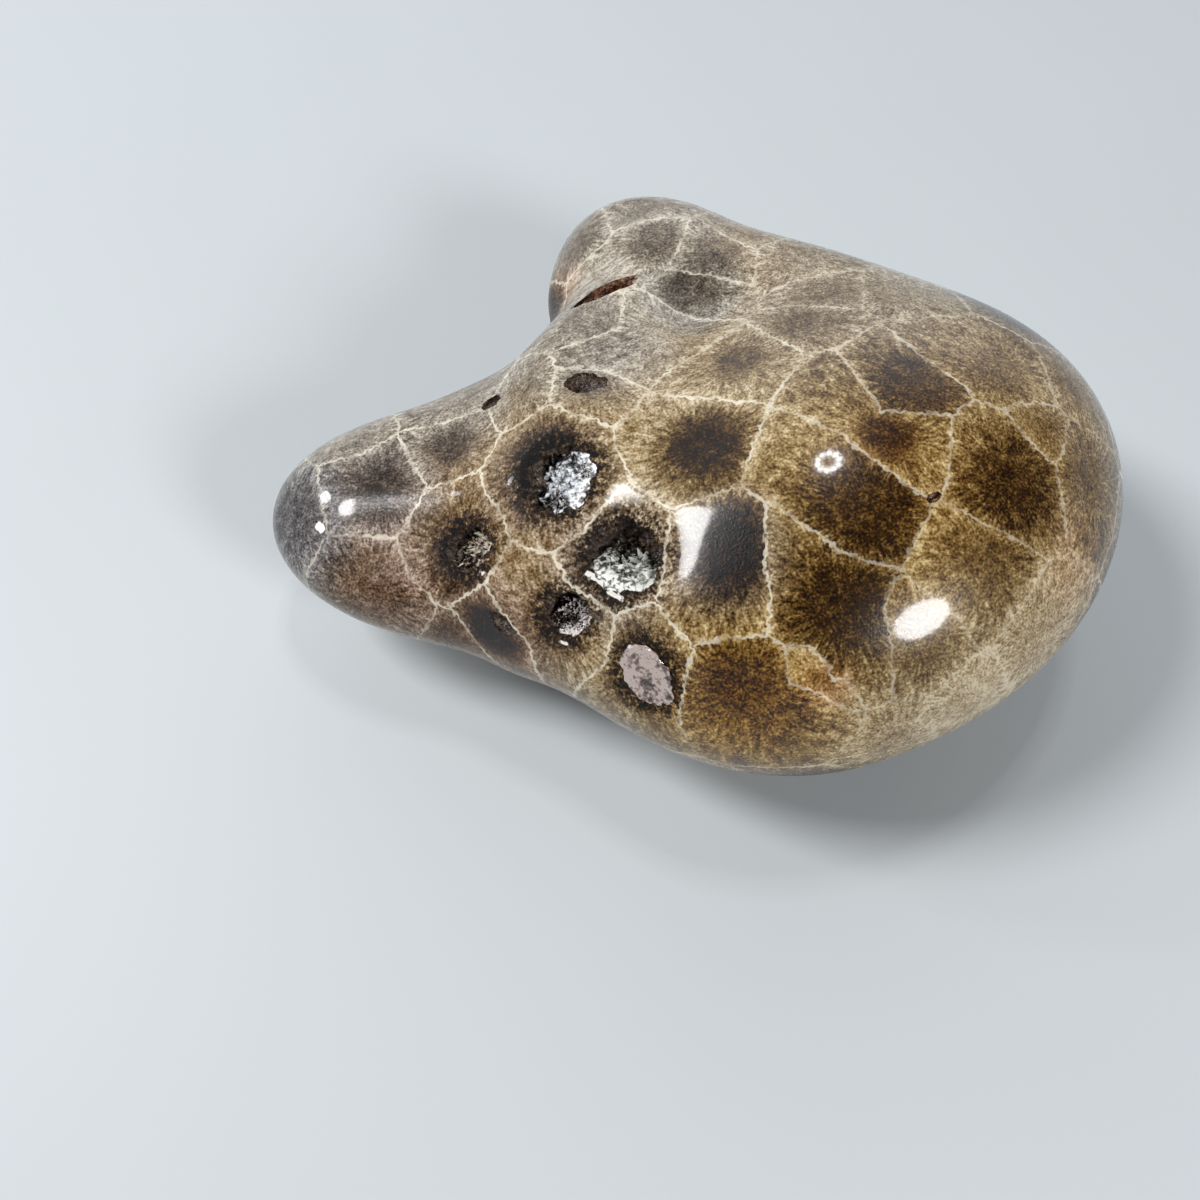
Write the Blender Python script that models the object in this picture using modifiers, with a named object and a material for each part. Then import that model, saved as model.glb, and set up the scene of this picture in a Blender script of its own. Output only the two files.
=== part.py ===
"""Fossil coral head: one polished cobble of colonial coral (Hexagonaria) turned to stone.

A heavy rounded body carries a blunt horn on one side and a knob at its back, with a groove
between knob and body. Each coral cup near the horn is a shallow dimple, and several cups
have weathered into small open vugs, the larger ones lined with a crust of calcite crystals.

Frame: metres, +Z up. The stone lies on z = 0 and the origin is the centre of its bounding
box's bottom face. +X runs from the horn to the body, +Y from the front to the knob.
The dimensions below are laid out in millimetres round a point under the body, and the
finished stone is moved to that frame last.
"""

import math
import random

import bmesh
import bpy
import numpy as np
from mathutils import Matrix, Vector, noise

MM = 0.001

# ---- Driving dimensions, in millimetres and degrees ----

# The stone's rounded masses: centre (x, y, z), half-axes (x, y, z), turn about Z.
MASSES = {
    "body": ((13.5, -3.0, 14.5), (28.0, 22.5, 16.5), 31.0),
    "brow": ((-4.0, -5.5, 11.5), (26.0, 15.0, 10.5), -39.0),
    "waist": ((-10.5, 4.0, 13.0), (21.0, 9.5, 13.5), 73.0),
    "horn": ((-21.5, -1.5, 11.0), (20.0, 12.5, 8.5), -4.0),
    "back": ((8.5, 19.0, 12.5), (23.5, 10.5, 12.0), -20.0),
    "knob": ((-3.0, 28.0, 12.5), (10.5, 8.0, 9.5), -23.0),
    "belly": ((1.0, 2.0, 7.5), (21.0, 15.0, 9.0), 20.0),
}
BLEND = 2.0                 # how far the masses melt into each other
FOOT_HEIGHT = -1.3          # the level at which the underside is worn flat

# Shallow dimples, one to a cup: x, y, radius, depth.
DIMPLES = {
    "horn_tip": (-36.9, -3.8, 4.2, 0.35),
    "horn_end": (-30.1, -0.9, 4.5, 0.50),
    "horn_back": (-23.3, 1.3, 4.2, 0.40),
    "horn": (-21.6, -9.0, 4.8, 0.80),
    "horn_flank": (-18.6, -15.8, 4.0, 0.60),
    "saddle": (-12.8, -5.0, 6.0, 1.00),
    "middle": (-7.6, -12.5, 5.2, 1.00),
    "side": (-12.6, -16.0, 4.0, 0.80),
    "front": (-5.7, -21.8, 4.6, 0.60),
    "smooth": (0.7, -14.0, 4.8, 1.10),
    "crown": (-0.7, -4.3, 5.6, 0.55),
    "front_right": (2.2, -23.9, 4.2, 0.40),
    "crown_back": (2.8, 4.3, 5.2, 0.30),
}
DIMPLE_BLEND = 0.3          # how round a dimple's rim is

# Open vugs: x, y, half-length, half-width, depth, turn of the length in the surface.
CRUSTED_VUGS = {
    "saddle_vug": (-12.7, -5.6, 3.3, 2.7, 3.0, 60.0),
    "middle_vug": (-7.6, -12.9, 3.5, 3.1, 3.2, -30.0),
    "horn_vug": (-21.3, -9.4, 2.4, 2.0, 1.9, 20.0),
    "side_vug": (-12.4, -16.2, 2.3, 2.0, 2.2, -15.0),
    "front_vug": (-5.7, -22.0, 2.8, 2.3, 1.5, -50.0),
}
BARE_VUGS = {
    "pinhole": (-9.9, -16.9, 0.7, 0.6, 0.8, 0.0),
    "back_pit": (-9.8, 3.8, 1.8, 1.2, 1.4, 10.0),
    "back_pinhole": (-19.6, 5.7, 1.0, 0.7, 0.8, 0.0),
    "slit": (-18.4, -15.7, 1.6, 0.9, 1.1, -40.0),
    "knob_pit": (-6.7, 29.2, 1.1, 0.6, 0.6, 10.0),
    "body_pit": (17.5, -10.8, 0.7, 0.5, 0.6, 30.0),
}
# The trench where the knob's back leaves the body, in the same terms.
TRENCH = {"trench": (-10.0, 17.4, 5.5, 1.7, 2.8, 24.0)}
VUG_ROUGHNESS = 0.16        # how far a vug's wall wanders, as a share of its size

CRUST_GAP = 0.4             # between a crust and the wall of its vug
CRUST_LEVEL = 0.5           # height of a crust's bed below the rim, as a share of the depth
CRYSTAL_SIDES = 6
CRYSTALS_PER_CRUST = 11
CRYSTAL_RADIUS = 0.3        # of the largest crystals, as a share of the vug's half-width
CRYSTAL_TIP = 0.15          # width of its blunt tip, as a share of its foot
CRYSTAL_HEIGHT = 0.75       # of the largest crystals, as a share of the vug's depth
CRYSTAL_ROOT = 0.3          # how much of a crystal is sunk in the bed
CRYSTAL_SPREAD = 0.52       # how far out they stand, as a share of the crust
CRYSTAL_LEAN = 15.0
CRYSTAL_SEED = 7

SEED_VOXEL = 1.6            # voxel of the first remesh, which only fuses the masses
SKIN_VOXEL = 0.9            # voxel of the final skin
SKIN_TRIANGLES = 5600       # triangles kept on the skin before the vugs are cut

STONE_COLOUR = (0.23, 0.17, 0.11, 1.0)
CALCITE_COLOUR = (0.62, 0.60, 0.57, 1.0)

# ---- The stone's form, in millimetres ----


def ellipsoid_distance(points, ellipsoid):
    """Nearly the distance from each point to the ellipsoid's surface, negative inside."""
    centre, half_axes, turn = ellipsoid
    cos_turn, sin_turn = math.cos(math.radians(turn)), math.sin(math.radians(turn))
    offset = points - np.array(centre)
    local = np.stack(
        [
            offset[:, 0] * cos_turn + offset[:, 1] * sin_turn,
            offset[:, 1] * cos_turn - offset[:, 0] * sin_turn,
            offset[:, 2],
        ],
        axis=1,
    )
    axes = np.array(half_axes)
    scaled = np.linalg.norm(local / axes, axis=1)
    steepness = np.linalg.norm(local / axes**2, axis=1)
    return scaled * (scaled - 1.0) / np.maximum(steepness, 1e-6)


def plain_form(points):
    """The blended masses: zero on their common surface, negative inside."""
    masses = np.stack([ellipsoid_distance(points, mass) for mass in MASSES.values()])
    return -BLEND * np.logaddexp.reduce(-masses / BLEND, axis=0)


def slope(form, points, step=0.05):
    """The gradient of a form at each point."""
    return np.stack(
        [(form(points + shift) - form(points - shift)) / (2 * step) for shift in np.eye(3) * step],
        axis=1,
    )


def surface_point(x, y):
    """The point of the upper surface over (x, y), and the outward normal there."""
    low, high = 10.0, 45.0
    while high - low > 0.001:
        middle = (low + high) / 2
        if plain_form(np.array([[x, y, middle]]))[0] < 0:
            low = middle
        else:
            high = middle
    point = np.array([[x, y, high]])
    normal = slope(plain_form, point)[0]
    return point[0], normal / np.linalg.norm(normal)


def dimple_balls():
    """The balls that press the dimples in: their centres and radii."""
    balls = []
    for x, y, radius, depth in DIMPLES.values():
        point, normal = surface_point(x, y)
        ball_radius = (radius**2 + depth**2) / (2 * depth)
        balls.append((point + normal * (ball_radius - depth), ball_radius))
    return balls


def dimpled_form(points, balls):
    """The blended masses with the dimples pressed in."""
    stone = plain_form(points)
    for centre, radius in balls:
        outside_ball = radius - np.linalg.norm(points - centre, axis=1)
        stone = DIMPLE_BLEND * np.logaddexp(stone / DIMPLE_BLEND, outside_ball / DIMPLE_BLEND)
    return stone


def settle(mesh, form, rounds=5):
    """Slides every vertex of the mesh along the form's slope onto its surface."""
    points = np.empty(len(mesh.vertices) * 3)
    mesh.vertices.foreach_get("co", points)
    points = points.reshape(-1, 3) / MM
    for _ in range(rounds):
        gradient = slope(form, points)
        steep = np.maximum((gradient**2).sum(axis=1), 0.05)
        points -= gradient * (np.clip(form(points), -2.0, 2.0) / steep)[:, None]
    mesh.vertices.foreach_set("co", (points * MM).ravel())
    mesh.update()


# ---- Blender helpers ----


def clear_scene():
    for obj in list(bpy.data.objects):
        bpy.data.objects.remove(obj, do_unlink=True)


def new_collection(name):
    collection = bpy.data.collections.new(name)
    bpy.context.scene.collection.children.link(collection)
    return collection


def new_object(name, bm, collection):
    mesh = bpy.data.meshes.new(name)
    bm.to_mesh(mesh)
    bm.free()
    obj = bpy.data.objects.new(name, mesh)
    collection.objects.link(obj)
    return obj


def new_material(name, colour, roughness):
    material = bpy.data.materials.new(name)
    material.use_nodes = True
    shader = material.node_tree.nodes["Principled BSDF"]
    shader.inputs["Base Color"].default_value = colour
    shader.inputs["Roughness"].default_value = roughness
    return material


def apply_modifiers(obj):
    graph = bpy.context.evaluated_depsgraph_get()
    baked = bpy.data.meshes.new_from_object(obj.evaluated_get(graph))
    obj.modifiers.clear()
    obj.data = baked


# ---- Sub-parts ----


def stone_skin(collection):
    """The whole stone with its dimples, before the foot and the vugs are cut."""
    bm = bmesh.new()
    for centre, half_axes, turn in MASSES.values():
        place = (
            Matrix.Translation(Vector(centre) * MM)
            @ Matrix.Rotation(math.radians(turn), 4, "Z")
            @ Matrix.Diagonal((*(axis * MM for axis in half_axes), 1.0))
        )
        bmesh.ops.create_icosphere(bm, subdivisions=4, radius=1.0, matrix=place)
    stone = new_object("coral_head", bm, collection)
    balls = dimple_balls()
    for voxel in (SEED_VOXEL, SKIN_VOXEL):
        fuse = stone.modifiers.new("fuse", "REMESH")
        fuse.mode = "VOXEL"
        fuse.voxel_size = voxel * MM
        apply_modifiers(stone)
        settle(stone.data, lambda points: dimpled_form(points, balls))
    thin = stone.modifiers.new("thin", "DECIMATE")
    thin.ratio = SKIN_TRIANGLES / (2 * len(stone.data.polygons))
    thin.use_collapse_triangulate = True
    apply_modifiers(stone)
    return stone


def cut_flat(bm, height, outward):
    """Cuts off what lies beyond a level plane and closes the cut with one flat face."""
    cut = bmesh.ops.bisect_plane(
        bm,
        geom=[*bm.verts, *bm.edges, *bm.faces],
        plane_co=(0, 0, height * MM),
        plane_no=outward,
        clear_outer=True,
    )
    rim = [item for item in cut["geom_cut"] if isinstance(item, bmesh.types.BMEdge)]
    bmesh.ops.contextual_create(bm, geom=rim)
    bmesh.ops.recalc_face_normals(bm, faces=bm.faces)


def wear_foot(stone):
    """Wears the underside flat at the foot's level."""
    bm = bmesh.new()
    bm.from_mesh(stone.data)
    cut_flat(bm, FOOT_HEIGHT, (0, 0, -1))
    bm.to_mesh(stone.data)
    bm.free()


def vug_place(x, y, depth_below, turn):
    """The frame of a vug: on the surface, its Z axis along the outward normal."""
    point, normal = surface_point(x, y)
    up = Vector(normal)
    level_x = (Vector((1, 0, 0)) - up * up.x).normalized()
    along = Matrix.Rotation(math.radians(turn), 3, up) @ level_x
    frame = Matrix((along, up.cross(along), up)).transposed().to_4x4()
    return Matrix.Translation(Vector(point - normal * depth_below) * MM) @ frame


def dimple_depth(x, y):
    """How far the dimples have lowered the surface over (x, y), at most."""
    depths = [0.0]
    for centre_x, centre_y, radius, depth in DIMPLES.values():
        off_centre = math.hypot(x - centre_x, y - centre_y) / radius
        depths.append(depth * (1 - off_centre**2))
    return max(depths)


def rough_ball(half_axes, subdivisions, seed):
    """A lumpy ellipsoid about the origin, the same lumps for the same seed."""
    bm = bmesh.new()
    bmesh.ops.create_icosphere(bm, subdivisions=subdivisions, radius=1.0)
    for vertex in bm.verts:
        lump = 1 + VUG_ROUGHNESS * noise.noise(vertex.co * 1.7 + Vector((seed, 0, 0)))
        vertex.co = Vector(axis * MM * lump * part for axis, part in zip(half_axes, vertex.co))
    return bm


def cut_vugs(stone, vugs, subdivisions, cutters):
    """Hollows each vug out of the stone with its own lumpy cutter."""
    for seed, (name, (x, y, half_length, half_width, depth, turn)) in enumerate(vugs.items()):
        bm = rough_ball((half_length, half_width, depth), subdivisions, seed)
        bm.transform(vug_place(x, y, dimple_depth(x, y), turn))
        cutter = new_object(f"{name}_cutter", bm, cutters)
        cutter.hide_render = True
        cutter.display_type = "WIRE"
        hollow = stone.modifiers.new(name, "BOOLEAN")
        hollow.operation = "DIFFERENCE"
        hollow.object = cutter


def crust(name, seed, vug, parts, cutters):
    """A bed of calcite that follows the vug's floor, with dog-tooth crystals on it."""
    x, y, half_length, half_width, depth, turn = vug
    place = vug_place(x, y, dimple_depth(x, y), turn)
    shrink = 1 - CRUST_GAP / min(half_length, half_width, depth)
    bed = rough_ball([axis * shrink for axis in (half_length, half_width, depth)], 2, seed)
    level = -CRUST_LEVEL * depth
    cut_flat(bed, level, (0, 0, 1))
    bed.transform(place)
    obj = new_object(f"{name}_crystals", bed, parts)

    draw = random.Random(CRYSTAL_SEED + seed)
    crystals = bmesh.new()
    golden_angle = math.radians(137.5)
    for index in range(CRYSTALS_PER_CRUST):
        reach = CRYSTAL_SPREAD * shrink * math.sqrt((index + 0.5) / CRYSTALS_PER_CRUST)
        angle = index * golden_angle + seed
        size = draw.uniform(0.6, 1.0)
        height = CRYSTAL_HEIGHT * depth * size
        stand = Matrix.Translation(
            (
                reach * half_length * math.cos(angle) * MM,
                reach * half_width * math.sin(angle) * MM,
                (level + (0.5 - CRYSTAL_ROOT) * height) * MM,
            )
        )
        lean = Matrix.Rotation(math.radians(draw.uniform(-CRYSTAL_LEAN, CRYSTAL_LEAN)), 4, "X")
        swing = Matrix.Rotation(draw.uniform(0, 2 * math.pi), 4, "Z")
        bmesh.ops.create_cone(
            crystals,
            cap_ends=True,
            segments=CRYSTAL_SIDES,
            radius1=CRYSTAL_RADIUS * half_width * size * MM,
            radius2=CRYSTAL_TIP * CRYSTAL_RADIUS * half_width * size * MM,
            depth=height * MM,
            matrix=place @ stand @ swing @ lean,
        )
    teeth = new_object(f"{name}_teeth", crystals, cutters)
    teeth.hide_render = True
    teeth.display_type = "WIRE"
    grow = obj.modifiers.new("grow", "BOOLEAN")
    grow.operation = "UNION"
    grow.object = teeth
    grow.use_self = True
    return obj


def move_to_frame(stone):
    """Moves everything so that the stone's bounding box stands centred on the origin."""
    corners = np.array([vertex.co for vertex in stone.data.vertices])
    low, high = corners.min(axis=0), corners.max(axis=0)
    shift = Matrix.Translation((-(low[0] + high[0]) / 2, -(low[1] + high[1]) / 2, -low[2]))
    for obj in bpy.data.objects:
        obj.data.transform(shift)


def build():
    clear_scene()
    parts = new_collection("fossil_coral_head")
    cutters = new_collection("cutters")
    stone_material = new_material("polished_coral", STONE_COLOUR, 0.3)
    calcite_material = new_material("calcite", CALCITE_COLOUR, 0.25)

    stone = stone_skin(parts)
    wear_foot(stone)
    cut_vugs(stone, CRUSTED_VUGS, 2, cutters)
    cut_vugs(stone, BARE_VUGS, 1, cutters)
    cut_vugs(stone, TRENCH, 3, cutters)
    stone.data.materials.append(stone_material)
    stone.data.shade_smooth()
    for seed, (name, vug) in enumerate(CRUSTED_VUGS.items()):
        crystals = crust(name, seed, vug, parts, cutters)
        crystals.data.materials.append(calcite_material)
    move_to_frame(stone)


build()
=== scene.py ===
import math
import random

import bmesh
import bpy
import numpy as np
from mathutils import Matrix, Vector, noise
from mathutils.bvhtree import BVHTree


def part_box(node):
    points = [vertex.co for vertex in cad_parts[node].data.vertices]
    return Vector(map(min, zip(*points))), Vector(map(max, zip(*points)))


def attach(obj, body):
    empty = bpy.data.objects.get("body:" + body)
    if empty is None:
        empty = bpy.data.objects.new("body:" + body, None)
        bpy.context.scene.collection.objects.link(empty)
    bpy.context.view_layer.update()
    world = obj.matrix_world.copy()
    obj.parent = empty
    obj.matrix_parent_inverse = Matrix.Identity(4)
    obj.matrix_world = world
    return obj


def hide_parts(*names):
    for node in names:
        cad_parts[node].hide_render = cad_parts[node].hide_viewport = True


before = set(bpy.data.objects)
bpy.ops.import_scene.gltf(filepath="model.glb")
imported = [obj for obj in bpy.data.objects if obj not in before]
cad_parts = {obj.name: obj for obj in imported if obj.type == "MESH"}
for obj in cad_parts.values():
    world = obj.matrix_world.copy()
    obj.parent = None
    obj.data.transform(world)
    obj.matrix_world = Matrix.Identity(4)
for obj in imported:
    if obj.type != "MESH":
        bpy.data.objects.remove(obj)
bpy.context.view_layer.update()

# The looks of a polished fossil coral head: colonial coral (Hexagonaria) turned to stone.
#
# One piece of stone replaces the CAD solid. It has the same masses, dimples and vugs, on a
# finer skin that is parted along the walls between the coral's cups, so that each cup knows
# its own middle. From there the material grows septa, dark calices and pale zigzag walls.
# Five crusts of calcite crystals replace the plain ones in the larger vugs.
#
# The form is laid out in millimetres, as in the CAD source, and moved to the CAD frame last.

MM = 0.001
STONE_LOW, STONE_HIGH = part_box("coral_head")

# ---- The stone's form, in millimetres and degrees, as in the CAD source ----

# Rounded masses: centre (x, y, z), half-axes (x, y, z), turn about Z.
MASSES = {
    "body": ((13.5, -3.0, 14.5), (28.0, 22.5, 16.5), 31.0),
    "brow": ((-4.0, -5.5, 11.5), (26.0, 15.0, 10.5), -39.0),
    "waist": ((-10.5, 4.0, 13.0), (21.0, 9.5, 13.5), 73.0),
    "horn": ((-21.5, -1.5, 11.0), (20.0, 12.5, 8.5), -4.0),
    "back": ((8.5, 19.0, 12.5), (23.5, 10.5, 12.0), -20.0),
    "knob": ((-3.0, 28.0, 12.5), (10.5, 8.0, 9.5), -23.0),
    "belly": ((1.0, 2.0, 7.5), (21.0, 15.0, 9.0), 20.0),
}
BLEND = 2.0
FOOT_HEIGHT = -1.3

# Shallow dimples, one to a cup: x, y, radius, depth.
DIMPLES = {
    "horn_tip": (-36.9, -3.8, 4.2, 0.10),
    "horn_end": (-30.1, -0.9, 2.0, 0.10),
    "horn_back": (-23.3, 1.3, 4.2, 0.40),
    "horn": (-21.6, -9.0, 4.8, 0.45),
    "horn_flank": (-18.6, -15.8, 4.0, 0.40),
    "saddle": (-12.8, -5.0, 6.0, 0.80),
    "middle": (-7.6, -12.5, 5.2, 0.90),
    "side": (-12.6, -16.0, 4.0, 0.60),
    "front": (-5.7, -21.8, 4.6, 0.50),
    "smooth": (0.7, -14.0, 4.8, 0.22),
    "crown": (-0.7, -4.3, 5.6, 0.55),
    "front_right": (2.2, -23.9, 4.2, 0.40),
    "crown_back": (2.8, 4.3, 5.2, 0.30),
    "knob": (-6.7, 29.2, 1.4, 0.30),
}
DIMPLE_BLEND = 0.55

# Open vugs: x, y, half-length, half-width, depth, turn of the length in the surface.
CRUSTED_VUGS = {
    "saddle_vug": (-12.7, -5.6, 3.3, 2.7, 3.0, 60.0),
    "middle_vug": (-7.6, -12.9, 3.5, 3.1, 3.2, -30.0),
    "horn_vug": (-21.3, -9.4, 2.4, 2.0, 1.9, 20.0),
    "side_vug": (-12.4, -16.2, 2.3, 2.0, 2.2, -15.0),
    "front_vug": (-5.7, -22.0, 2.8, 2.3, 1.5, -50.0),
}
BARE_VUGS = {
    "pinhole": (-9.9, -16.9, 0.7, 0.6, 0.8, 0.0),
    "back_pit": (-10.6, 4.2, 2.1, 1.45, 2.5, 10.0),
    "back_pinhole": (-19.6, 5.7, 1.1, 0.8, 1.1, 0.0),
    "slit": (-18.4, -15.7, 1.6, 0.9, 1.1, -40.0),
}
RUSTY_VUGS = {
    "trench": (-8.8, 17.6, 3.8, 1.0, 1.8, 24.0),
    "body_pit": (17.5, -10.8, 0.7, 0.4, 0.6, 30.0),
}
VUG_ROUGHNESS = 0.16
CRAG_ROUGHNESS = 0.16       # of the finer crags on a vug's wall

SEED_VOXEL = 1.6
SKIN_VOXEL = 0.5

# ---- The camera, which stands where the photograph was taken ----

PHOTO_SIZE = 1200           # pixels
FOCAL_LENGTH_PX = 1139.6
SENSOR_WIDTH = 36.0
CAMERA_PLACE = (-8.66, -65.5, 107.75)  # millimetres in the CAD frame
CAMERA_TILT = 28.125        # from looking straight down
CAMERA_ROLL = -0.197

# ---- The coral's cups ----

# Each cup: its sites, its calice, how pale its wall is, and its ground from 0 dark to 1 pale.
# A site is a pixel of the photograph and how far it reaches past the halfway line to the
# next site. A calice is a pixel, a radius and a darkness. Lengths are in millimetres.
CUPS = {
    "tip": (((296, 521, -0.8),), (294, 520, 4.6, 0.15), 0.35, 0.56),
    "horn_end": (((368, 490, 0.3),), (382, 487, 3.6, 0.5), 0.7, 0.56),
    "horn_back": (((450, 443, -0.4),), (450, 448, 2.8, 0.55), 0.8, 0.68),
    "horn": (((455, 545, 0.6),), (462, 550, 3.8, 0.62), 0.8, 0.57),
    "saddle": (((537, 462, 0.0), (560, 498, -0.1)), (545, 470, 4.6, 0.95), 0.85, 0.66),
    "crown": (((698, 440, 0.6),), (706, 447, 4.6, 1), 0.9, 0.75),
    "crown_back": (((735, 368, 0.6),), (738, 362, 2.8, 0.42), 0.75, 0.68),
    "middle": (((612, 552, 0.0),), (618, 560, 4.6, 0.85), 0.85, 0.76),
    "smooth": (((724, 556, 0.1), (724, 582, 0.0)), (731, 548, 4.6, 1), 0.7, 0.62),
    "body": (((850, 505, 1.0), (800, 455, -0.3)), (866, 510, 6.6, 0.68), 0.42, 0.66),
    "between": (((838, 392, 0.0), (903, 443, -0.4)), (888, 438, 2.6, 0.54), 0.45, 0.58),
    "body_front": (
        ((828, 592, 0.6), (804, 556, -0.1), (862, 655, 0.0)),
        (842, 606, 6.4, 0.62), 0.5, 0.63,
    ),
    "body_right": (((1010, 478, 1.0),), (1010, 482, 6, 0.58), 0.35, 0.64),
    "shoulder": (((893, 375, 0.3),), (922, 385, 5.2, 0.42), 0.5, 0.52),
    "shoulder_right": (((1005, 360, 0.5), (945, 345, -0.8)), (1000, 372, 3.0, 0.15), 0.5, 0.58),
    "sliver": (((1043, 433, -1.3),), (1043, 433, 1.5, 0.05), 0.45, 0.56),
    "shoulder_rim": (((1075, 385, 0.0),), (1072, 385, 2.5, 0.15), 0.3, 0.58),
    "right_front": (((975, 580, 1.0),), (985, 560, 4.8, 0.3), 0.3, 0.65),
    "front_right": (((740, 695, 0.3), (805, 726, 0.0)), (748, 688, 5.4, 0.45), 0.5, 0.58),
    "wedge": (((818, 674, -1.9), (842, 690, -1.9)), (828, 680, 1.5, 0.3), 0.55, 0.69),
    "front": (((643, 667, -0.2), (624, 700, -0.5)), (645, 670, 4.2, 0.7), 0.8, 0.62),
    "side": (((524, 602, -0.2), (570, 634, 0.0)), (560, 622, 3.6, 0.6), 0.8, 0.66),
    "flank": (((494, 625, -0.5),), (492, 632, 3.2, 0.65), 0.7, 0.42),
    "horn_low": (((360, 575, -0.2), (400, 614, -1.0)), (368, 594, 4.4, 0.1), 0.5, 0.55),
    "flank_low": (((450, 640, -1.0),), (450, 640, 2.2, 0.2), 0.6, 0.52),
    "horn_rim": (((355, 438, -2.0),), (355, 438, 2.2, 0.15), 0.5, 0.74),
    "waist_left": (((455, 400, 0.0),), (458, 400, 2.2, 0), 0.6, 0.68),
    "waist": (((590, 378, -1.2),), (592, 384, 2.8, 0.3), 0.65, 0.7),
    "waist_pit": (((525, 385, -1.0),), (520, 390, 2.2, 0.1), 0.7, 0.71),
    "groove_side": (((580, 325, 0.0),), (592, 322, 2.8, 0.15), 0.6, 0.66),
    "groove_end": (((697, 294, -0.4),), (690, 291, 3.8, 0.45), 0.6, 0.68),
    "ridge": (((665, 332, 0.5), (601, 353, 0.0)), (665, 332, 2.0, 0.05), 0.65, 0.7),
    "upper_back": (((830, 290, -0.3),), (826, 288, 3.4, 0.22), 0.5, 0.7),
    "upper_sliver": (((810, 322, -0.6),), (800, 325, 3.0, 0.25), 0.5, 0.62),
    "knob": (((648, 243, 0.0), (592, 275, -0.5)), (655, 240, 3.4, 0.45), 0.6, 0.8),
    "knob_left": (((575, 245, 0.0),), (574, 243, 3.6, 0.15), 0.7, 0.68),
    "knob_low": (((553, 318, -0.3),), (553, 316, 3.4, 0.3), 0.6, 0.42),
    "knob_back": (((645, 205, 0.0),), (640, 207, 3.0, 0.22), 0.6, 0.7),
    "knob_right": (((712, 252, 0.2),), (715, 250, 3.4, 0.35), 0.65, 0.7),
    "knob_sliver": (((745, 233, -0.5),), (745, 233, 2.0, 0.1), 0.5, 0.72),
    "back_left": (((800, 258, 0.0),), (800, 258, 2.5, 0.1), 0.35, 0.67),
    "back_right": (((900, 293, 0.0),), (900, 293, 2.5, 0), 0.35, 0.7),
    "right_rim": (((1090, 480, 0.0),), (1088, 480, 2.5, 0.12), 0.3, 0.5),
    "lamp_spot": (((925, 640, 0.5),), (925, 640, 4.8, 0.15), 0.1, 0.6),
    # The pale grounds of low_right_rim, low_front_right and low_rim are partly painted reflection of the
    # bright floor on the steep lower edge, partly the stone's own tone.
    "low_right_rim": (((1035, 640, 0.0),), (1035, 640, 2.5, 0), 0.3, 0.78),
    "low_front_right": (((895, 742, 0.0),), (895, 742, 2.5, 0.25), 0.25, 0.78),
    "low_rim": (((970, 700, 0.0),), (970, 700, 2.5, 0.05), 0.3, 0.9),
}
UNSEEN_CUP_SPACING = 9.5    # least distance between the middles of the cups out of sight
UNSEEN_CUP_SEED = 4
WALL_WANDER = 0.35          # how far a wall strays from the halfway line
WALL_WANDER_LENGTH = 4.0

NEIGHBOURS = 6              # how many cups round a point may wall it in

SEPTA = 56                  # radial blades in each cup

# Stains, and a blue tint on the tip and horn end that is partly painted sheen: a pixel of the
# photograph, a radius in millimetres, and what it does to red, green and blue at its middle.
STAINS_AND_SHEEN = {
    "blue_sheen_tip": (292, 520, 6.5, (0.94, 1.00, 1.16)),
    "blue_sheen_horn_end": (378, 482, 5.0, (0.97, 0.99, 1.12)),
    "violet_horn_low": (385, 590, 7.0, (1.03, 0.96, 1.06)),
    "violet_flank": (500, 640, 7.0, (1.06, 0.92, 0.98)),
    "violet_smooth": (728, 552, 5.0, (1.00, 0.94, 1.08)),
    "violet_middle": (610, 570, 7.0, (1.00, 0.96, 1.06)),
    "violet_saddle": (540, 475, 7.0, (1.00, 0.97, 1.06)),
    "violet_left": (430, 570, 15.0, (1.02, 0.97, 1.05)),
    "rust_knob": (556, 310, 5.5, (1.12, 0.80, 0.62)),
    "amber_front": (755, 750, 11.0, (1.15, 1.02, 0.70)),
    "amber_front_right": (735, 690, 8.0, (1.10, 0.98, 0.66)),
    "olive_body": (850, 540, 14.0, (1.03, 0.97, 0.76)),
    "brown_shoulder": (985, 450, 15.0, (1.02, 0.95, 0.78)),
    "rust_wedge": (828, 684, 3.0, (1.12, 0.96, 0.95)),
    "rust_rim": (1075, 560, 5.0, (1.08, 0.97, 0.92)),
    "rust_between": (887, 440, 3.0, (1.05, 0.90, 0.80)),
}
# Where the colour turns grey, partly the stone's own grey and partly painted sheen of the bright
# backdrop: a pixel of the photograph, a radius in millimetres, how grey.
GREY_AND_SHEEN_SPOTS = {
    "tip": (292, 520, 8.0, 0.75),
    "horn_end": (378, 484, 6.5, 0.50),
    "horn_rim": (362, 434, 9.0, 0.55),
    "horn_low": (385, 595, 8.0, 0.25),
    "saddle": (540, 472, 6.0, 0.20),
    "middle": (612, 562, 6.0, 0.25),
    "smooth": (726, 555, 5.0, 0.35),
    "flank": (500, 640, 7.0, 0.15),
    "waist": (455, 395, 10.0, 0.55),
    "groove_side": (575, 335, 9.0, 0.50),
    "groove_end": (688, 290, 6.0, 0.60),
    "knob": (610, 230, 13.0, 0.48),
    "upper_back": (840, 275, 14.0, 0.25),
}

# Where the polish has gone dull: a pixel of the photograph, a radius in millimetres, how dull.
DULL_SPOTS = {
    "horn_top": (396, 502, 4.2, 1.0),
    "horn_ridge": (515, 514, 2.4, 1.0),
    "knob_foot": (553, 314, 4.0, 0.9),
    "waist": (470, 410, 12.0, 0.6),
}
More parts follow.
